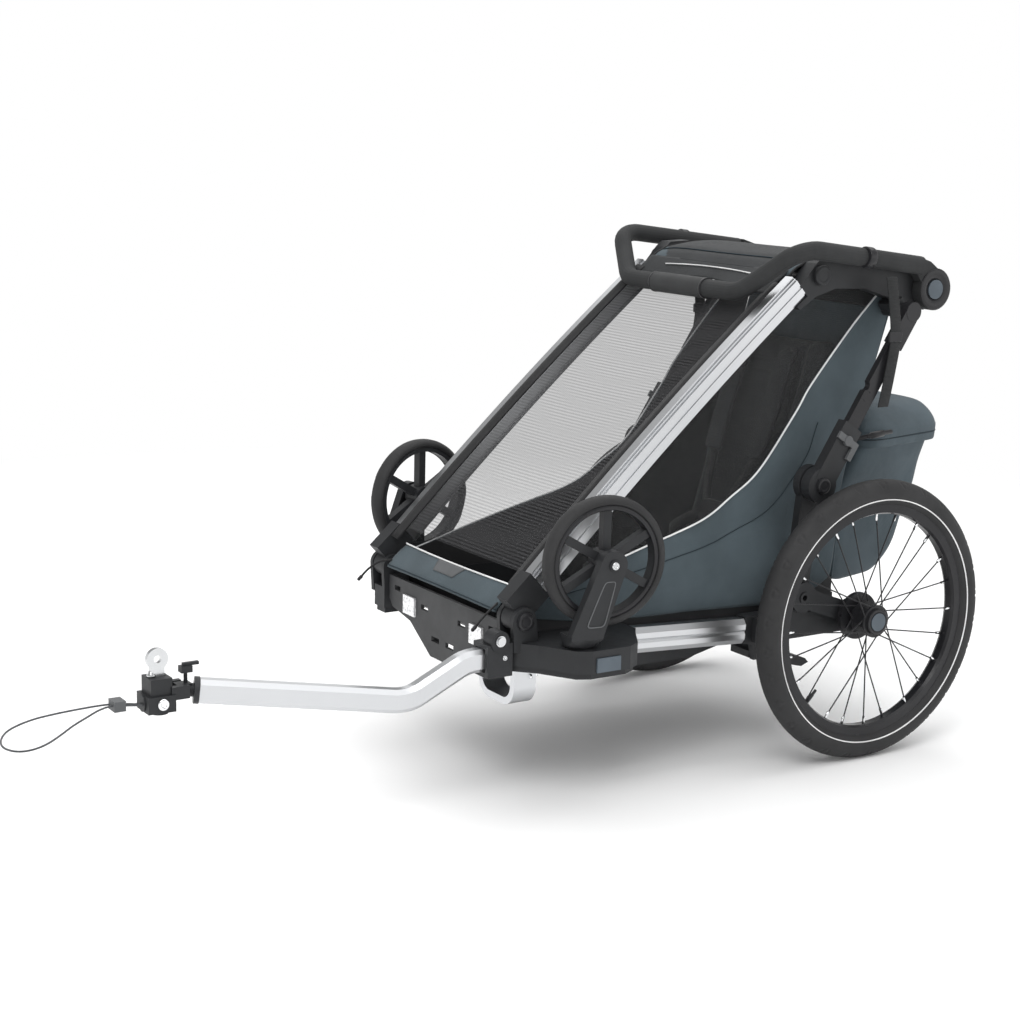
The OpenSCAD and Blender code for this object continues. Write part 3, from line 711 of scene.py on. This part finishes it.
# ---- harness ----
SHOULDER = [(58, 18, 700), (60, -6, 676), (64, -34, 600), (60, -62, 520), (44, -92, 450), (22, -112, 400)]
LAP = [(132, -96, 330), (112, -128, 342), (70, -136, 366), (24, -124, 392)]
CROTCH = [(0, -226, 312), (0, -196, 326), (0, -158, 352), (0, -128, 380)]
BUCKLE = [(-24, -132, 378), (24, -132, 378), (30, -124, 400), (24, -114, 420), (-24, -114, 420), (-30, -124, 400)]
BUCKLE_DEPTH = (12, -6)     # how far its back lies behind its front, along y and z
BELT_WIDTH, BELT_THICKNESS = 0.024, 0.0015
for side, tag in SIDES:
    line = smooth_path([P(side * x, y, z) for x, y, z in SHOULDER], 40)
    belt = ribbon("shoulder_belt_" + tag, line, (1, 0, 0), BELT_WIDTH, BELT_THICKNESS, "web")
    cover = [p + Vector((0, -0.005, 0.002)) for p in line[4:27]]
    pad = bevelled(ribbon("shoulder_pad_" + tag, cover, (1, 0, 0), 0.046, 0.009, "seat"), 0.004, 3)
    line = smooth_path([P(side * x, y, z) for x, y, z in LAP], 24)
    lap = ribbon("lap_belt_" + tag, line, (0, 0, 1), BELT_WIDTH, BELT_THICKNESS, "web")
    for ob in (belt, pad, lap):
        folding(applied(ob))
    if side < 0:
        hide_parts("harness")
folding(applied(ribbon("crotch_belt", smooth_path([P(*p) for p in CROTCH], 20), (1, 0, 0), 0.03, 0.004, "web")))
clip = piece("harness_buckle", [P(x, y + dy, z + dz) for dy, dz in ((0, 0), BUCKLE_DEPTH) for x, y, z in BUCKLE],
             [(0, 1, 2, 3, 4, 5), (11, 10, 9, 8, 7, 6)] + [(i, i + 6, (i + 1) % 6 + 6, (i + 1) % 6) for i in range(6)],
             "gloss", False)
folding(applied(bevelled(clip, 0.003, 3)))

# ---- rear cloth ----
REAR = [(10, 302), (14, 360), (19, 470), (50, 580), (80, 680), (112, 782)]


def rear_at(u, v):
    p = curve_at(REAR, v)
    x = -194 + 388 * u
    return P(x, p[0] + 1.5 * pucker(x, p[1]) * sin(pi * u), p[1])


rear = grid("rear_cloth", rear_at, 60, 50, "blue", 0.002)
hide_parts("rear_panel")
folding(applied(rear))

rear_top_cloth = grid("rear_top_cloth", lambda u, v: P(-192 + 384 * u, 113 + 20 * v, 780 + 76 * v), 40, 10, "roof")
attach(rear_top_cloth, "upper_frame")
for name, lift, height in (("rear_top_cloth_hem_low", 0.0, 782), ("rear_top_cloth_hem_high", 19.0, 853)):
    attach(tube(name, [P(x, 113 + lift, height) for x in range(-190, 191, 10)], 0.0022, "binding"), "upper_frame")

# ---- cargo bag ----
BAG = [  # height, front y, rear y, half width
    (268, 92, 196, 112), (276, 70, 214, 124), (300, 44, 238, 132), (350, 36, 258, 140), (425, 38, 282, 150),
    (500, 58, 288, 176), (545, 72, 291, 193), (556, 76, 293, 197)]


def bag_ring(z, front, back, half, sag):
    """One level of the bag: a rounded trapezoid, narrower behind."""
    ring = []
    for k in range(72):
        a = 2 * pi * k / 72
        c, s = cos(a), sin(a)
        c, s = powered(c, 0.26), powered(s, 0.26)
        y = (front + back) / 2 + (back - front) / 2 * s
        taper = 1 - 0.24 * (s + 1) / 2
        x = half * taper * c
        w = sag * noise.noise(Vector((x / 40, y / 40, z / 90)))
        ring.append((x + w * c, y + w * s, z))
    return ring


def lofted(name, rings, material):
    """A closed skin through rings of points, capped at both ends."""
    m = len(rings[0])
    verts = [P(*p) for r in rings for p in r]
    faces = [(i * m + k, i * m + (k + 1) % m, (i + 1) * m + (k + 1) % m, (i + 1) * m + k)
             for i in range(len(rings) - 1) for k in range(m)]
    faces.append(tuple(range(m))[::-1])
    faces.append(tuple((len(rings) - 1) * m + k for k in range(m)))
    return piece(name, verts, faces, material)


levels = [curve_at(BAG, i / 36) for i in range(37)]
bag = lofted("cargo_bag_shell", [bag_ring(*l, 5.5 * sin(pi * i / 36)) for i, l in enumerate(levels)], "bag")
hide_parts("cargo_bag")
folding(bag)
LID = [(530, 70, 297, 203), (533, 68, 298, 207), (556, 68, 299, 209), (562, 70, 298, 207), (572, 78, 297, 198),
       (586, 92, 294, 178), (597, 108, 284, 156), (602, 128, 262, 128), (603, 150, 230, 70)]
lid = lofted("cargo_bag_lid", [bag_ring(*curve_at(LID, i / 28), 1.2) for i in range(29)], "bag")
folding(lid)
hem = tube("cargo_bag_hem", [P(*p) for p in bag_ring(546, 67, 299, 207.5, 0)], 0.0016, "thread", True)
folding(as_mesh(hem, "cargo_bag_hem_line"))
STRUT = [(0, 2.5), (1, 4), (46, 4), (48, 6), (76, 6), (78, 4), (97, 4), (98, 2.5)]
for side, tag in SIDES:
    start = P(side * 206, 26, 552)
    folding(turned("bag_strut_" + tag, start, P(side * 206, 122, 561) - start, STRUT, "gloss"))

# ---- straps that hold the roof back to the bag ----
SLIDER = [(-15, -9), (15, -9), (15, 9), (-15, 9)]
for side, tag in SIDES:
    x = side * 275.5
    pts = [(x, 34, 846), (x, 44, 800), (x, 52, 740), (x, 44, 680), (x, 32, 620)]
    line = [P(*curve_at(pts, i / 30)) for i in range(31)]
    strap = ribbon("roof_strap_" + tag, line, (0, 1, 0), 0.024, 0.0022, "web")
    bevelled(strap, 0.0008)
    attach(strap, "upper_frame")
    if side > 0:
        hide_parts("straps")
    glide = piece("strap_slider_" + tag, [P(side * 273.6 + side * dx, 51 + dy, 742 + dz) for dx in (0, 4.6)
                                          for dy, dz in SLIDER], BOX_FACES, "gloss", False)
    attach(bevelled(glide, 0.0018, 3), "upper_frame")

# ---- main wheels ----
TYRE_POINTS = 64
TYRE_MIDDLE, TYRE_R = 227, 22.9
TREAD_REPEATS = 30
SPOKES, NIPPLE_SIDES = 24, 10
NIPPLE = ((0, 1.5), (1, 2.35), (11.8, 2.35), (12.4, 2.0))     # height, radius


def tyre_angle(k):
    return 2 * pi * (k + 0.5) / TYRE_POINTS


def tread(angle, k):
    """Grooves moulded across the shoulders, a slanted bar and a short cross bar in each repeat."""
    across = abs(((tyre_angle(k) + pi) % (2 * pi)) - pi)
    if across > 1.15 or across < 0.12:
        return 0
    cell = (angle * TREAD_REPEATS / (2 * pi)) % 1.0
    edge = 0.28 + 0.22 * (across - 0.3)
    on_bar = abs(cell - edge) < 0.055 or abs(cell - (1 - edge)) < 0.055
    on_top = 0.52 < across < 0.62 and edge < cell < 1 - edge
    return -1.5 if (on_bar and 0.55 < across < 1.05) or on_top else 0


def nipples(name, hub, side):
    """The spokes' nipples, one piece, in pairs that lean to each side of the rim."""
    verts, faces = [], []
    x_axis = Vector((1, 0, 0))
    for i in range(SPOKES):
        lean = 1 if (i // 2) % 2 == 0 else -1
        flange = 1 if i % 2 == 0 else -1
        a = 2 * pi * i / SPOKES
        out = Vector((0, cos(a), sin(a)))
        along = out.cross(x_axis)
        foot = hub + out * 0.1775 + Vector((side * (flange * 4 + lean * 1.9) / 1000, 0, 0))
        first = len(verts)
        for h, r in NIPPLE:
            for j in range(NIPPLE_SIDES):
                g = 2 * pi * j / NIPPLE_SIDES
                verts.append(foot + out * h / 1000 + (along * cos(g) + x_axis * sin(g)) * r / 1000)
        for h in range(len(NIPPLE) - 1):
            low, high = first + h * NIPPLE_SIDES, first + (h + 1) * NIPPLE_SIDES
            for j in range(NIPPLE_SIDES):
                l = (j + 1) % NIPPLE_SIDES
                faces.append((low + j, low + l, high + l, high + j))
    return piece(name, verts, faces, "chrome")


for side, tag in SIDES:
    hub = P(side * 308, 0, 250)
    profile = [(TYRE_MIDDLE + TYRE_R * cos(tyre_angle(k)), TYRE_R * sin(tyre_angle(k))) for k in range(TYRE_POINTS)]
    tyre = lathe("tyre_ring_" + tag, profile, hub, "rubber", 900, tread)
    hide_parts("tyre_" + tag)
    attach(tyre, "wheel_" + tag)
    section = [(r, side * x) for r, x in ((216.2, 20.6), (218.2, 21.1), (218.2, 22.0), (216.2, 21.6))]
    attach(lathe("tyre_reflex_" + tag, section, hub, "reflect", 160), "wheel_" + tag)
    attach(nipples("spoke_nipples_" + tag, hub, side), "wheel_" + tag)
    out = Vector((0, cos(3.9), sin(3.9)))
    knob("tyre_valve_" + tag, hub + Vector((side * 3, 0, 0)) / 1000 + out * 0.189, -out,
         [(0, 3.4), (16, 3.4), (17, 2.6), (26, 2.6), (27, 1.4)], "gloss", "wheel_" + tag, 14)
    knob("hub_cap_ring_" + tag, P(side * 329.6, 0, 250), (side, 0, 0),
         [(0, 22.6), (0.8, 22.6), (1.6, 21.2), (1.6, 17.2), (0.2, 17.0)], "gloss", "wheel_" + tag, 40)

# ---- stroller wheels ----
TOE_IN = radians(8.8)
STROLLER_TYRE = [(92.5, -13), (97, -15), (102, -12.5), (105, -8), (106, -3), (106, 3), (105, 8), (102, 12.5), (97, 15),
                 (92.5, 13)]
RIM_LIP = [(83.2, 10.5), (85, 12.2), (91.6, 12.2), (92.2, 10.5)]
ORIGIN = Vector((0, 0, 0))


def bites(angle, k):
    """Twelve shallow blocks cut into the tyre's shoulders."""
    deep = 0.2 < (angle * 12 / (2 * pi)) % 1.0 < 0.8
    return -1.3 if deep and k in (2, 7) else (-0.5 if deep and k in (1, 8) else 0)


for side, tag in SIDES:
    turn = Matrix.Rotation(TOE_IN * -side, 4, "Z")
    centre = P(side * 297, -567, 412)
    ring = lathe("stroller_tyre_ring_" + tag, STROLLER_TYRE, ORIGIN, "rubber", 288, bites)
    ring.matrix_world = Matrix.Translation(centre) @ turn
    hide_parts("stroller_tyre_" + tag)
    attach(ring, "stroller_wheel_" + tag)
    out = (turn @ Vector((side, 0, 0))).normalized()
    lip = lathe("stroller_rim_lip_" + tag, [(r, side * x) for r, x in RIM_LIP], ORIGIN, "gloss", 128)
    lip.matrix_world = Matrix.Translation(centre) @ turn
    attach(lip, "stroller_wheel_" + tag)
    lead = turn @ Vector((0, -1, 0))
    groove = []
    for k in range(64):
        a = 2 * pi * k / 64
        c, s = powered(cos(a), 0.35), powered(sin(a), 0.2)
        drop = 0.062 + 0.036 * s
        forward = 0.34 * drop + (0.0125 + 0.003 * s) * c - 0.0035
        groove.append(centre + out * 0.0372 - Vector((0, 0, drop)) + lead * forward)
    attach(tube("stroller_arm_groove_" + tag, groove, 0.0011, "grey", True), "stroller_mount_" + tag)
    knob("stroller_bolt_" + tag, centre + out * 0.041, out, [(0, 6.4), (1.6, 6.4), (2.6, 5.2), (2.6, 3.2), (1.2, 3.0)],
         "steel", "stroller_mount_" + tag, 28)

# ---- small hardware ----
for side, tag in SIDES:
    knob("boss_cap_" + tag, P(side * 234.6, -86, 848), (side, 0, 0),
         [(0, 17.2), (1.8, 17.2), (3.4, 15.2), (3.4, 11), (2.6, 10.4)], "chassis", "upper_frame", 40)
    knob("barrel_ring_" + tag, P(side * 250, 164, 819), (side, 0, 0),
         [(-0.2, 36.5), (1.2, 36), (2, 34.4), (2, 24), (0.6, 22), (0.6, 18), (-0.2, 18)], "gloss", "handlebar", 48)
    knob("knee_cap_" + tag, P(side * 275.8, -93, 490), (side, 0, 0),
         [(0, 13.8), (1.4, 13.2), (1.8, 8), (1.0, 7)], "gloss", "chassis", 36)
    knob("fold_cap_" + tag, P(side * 244, *FOLD), (side, 0, 0),
         [(0, 14.8), (1.6, 14), (2.2, 9), (1.4, 8)], "gloss", "chassis", 36)
    knob("handle_collar_" + tag, P(side * 260, -10, 879), P(side * 250, 124, 862) - P(side * 261, -156, 896),
         [(-8, 16.1), (-8, 17.4), (-6.5, 18.2), (6.5, 18.2), (8, 17.4), (8, 16.1)], "gloss", "handlebar", 40)
for side, tag in SIDES:
    knob("grip_ring_" + tag, P(side * 73, -208, 816), (1, 0, 0),
         [(-1.6, 16.1), (-1.6, 18.6), (1.6, 18.6), (1.6, 16.1)], "gloss", "handlebar", 40)
knob("receiver_screw", P(238, -712, 256), (1, 0, 0), [(0, 4.5), (1.2, 4.5), (2, 3.6), (2, 2), (1, 1.8)], "steel",
     "chassis", 24)
for name, at, axis in (("hoop_screw_0", P(216, -640, 214), (1, 0, 0)), ("hoop_screw_1", P(224, -652, 214), (0, -1, 0))):
    knob(name, at, axis, [(0, 4), (3, 4), (3.6, 3)], "chrome", "chassis", 20)
knob("coupling_disc", P(123, -1243, 225), (1, 0, 0), [(0, 9), (3, 9), (4, 7.6), (4, 4), (2.4, 3.8)], "chrome",
     "hitch_head", 36)
knob("coupling_stud", P(99, -1252, 262.8), (0, 0, 1), [(0, 7), (4, 7), (6, 4.5), (9, 4.2), (9.6, 3)], "steel",
     "hitch_head", 24)

# ---- floor and light ----
FLOOR_HALF = 30
FADE_FROM, FADE_TO = 1.3, 3.2     # how far from the middle the floor goes from lit to plain white
SKY = ((0.0, 1.0), (0.22, 1.0), (0.34, 0.42), (0.6, 0.36), (0.78, 1.0), (1.0, 1.25))     # height, brightness

corners = [(-FLOOR_HALF, -FLOOR_HALF, 0), (FLOOR_HALF, -FLOOR_HALF, 0), (FLOOR_HALF, FLOOR_HALF, 0),
           (-FLOOR_HALF, FLOOR_HALF, 0)]
floor = piece("studio_floor", corners, [(0, 1, 2, 3)], "reflect", False)
floor_mat = bpy.data.materials.new("studio_floor")
floor_mat.use_nodes = True
tree = floor_mat.node_tree
lit = tree.nodes["Principled BSDF"]
lit.inputs["Base Color"].default_value = (0.98, 0.98, 0.98, 1)
lit.inputs["Roughness"].default_value = 0.9
coord, reach, fade, glow, blend = (tree.nodes.new("ShaderNode" + kind) for kind in
                                   ("TexCoord", "VectorMath", "MapRange", "Emission", "MixShader"))
reach.operation = "LENGTH"
fade.inputs["From Min"].default_value, fade.inputs["From Max"].default_value = FADE_FROM, FADE_TO
tree.links.new(coord.outputs["Object"], reach.inputs[0])
tree.links.new(reach.outputs["Value"], fade.inputs["Value"])
tree.links.new(fade.outputs[0], blend.inputs[0])
tree.links.new(lit.outputs[0], blend.inputs[1])
tree.links.new(glow.outputs[0], blend.inputs[2])
tree.links.new(blend.outputs[0], tree.nodes["Material Output"].inputs["Surface"])
floor.data.materials.clear()
floor.data.materials.append(floor_mat)
world = bpy.data.worlds.new("studio")
world.use_nodes = True
tree = world.node_tree
coord, split, ramp = (tree.nodes.new("ShaderNode" + kind) for kind in ("TexCoord", "SeparateXYZ", "ValToRGB"))
tree.links.new(coord.outputs["Generated"], split.inputs[0])
tree.links.new(split.outputs["Z"], ramp.inputs["Fac"])
tree.links.new(ramp.outputs["Color"], tree.nodes["Background"].inputs["Color"])
for at, level in SKY:
    stop = ramp.color_ramp.elements.new(at) if 0 < at < 1 else ramp.color_ramp.elements[int(at) if at == 0 else -1]
    stop.color = (level, level, level, 1)
tree.nodes["Background"].inputs["Strength"].default_value = 1.0
bpy.context.scene.world = world
bpy.context.scene.view_settings.view_transform = "Standard"


def area(name, at, size, energy):
    """A square light that faces the trailer's middle."""
    light = bpy.data.lights.new(name, "AREA")
    light.shape, light.size, light.energy = "SQUARE", size, energy
    ob = bpy.data.objects.new(name, light)
    ob.location = at
    ob.rotation_mode = "QUATERNION"
    ob.rotation_quaternion = (Vector((0, 0, 0.4)) - Vector(at)).to_track_quat("-Z", "Y")
    bpy.context.scene.collection.objects.link(ob)


area("key_light", (2.2, -2.0, 3.6), 2.0, 62)
area("fill_light", (3.6, 2.6, 1.8), 3.0, 20)
area("back_light", (-3.0, 1.5, 3.0), 2.5, 20)
area("top_light", (-1.0, 1.5, 5.0), 5.0, 110)
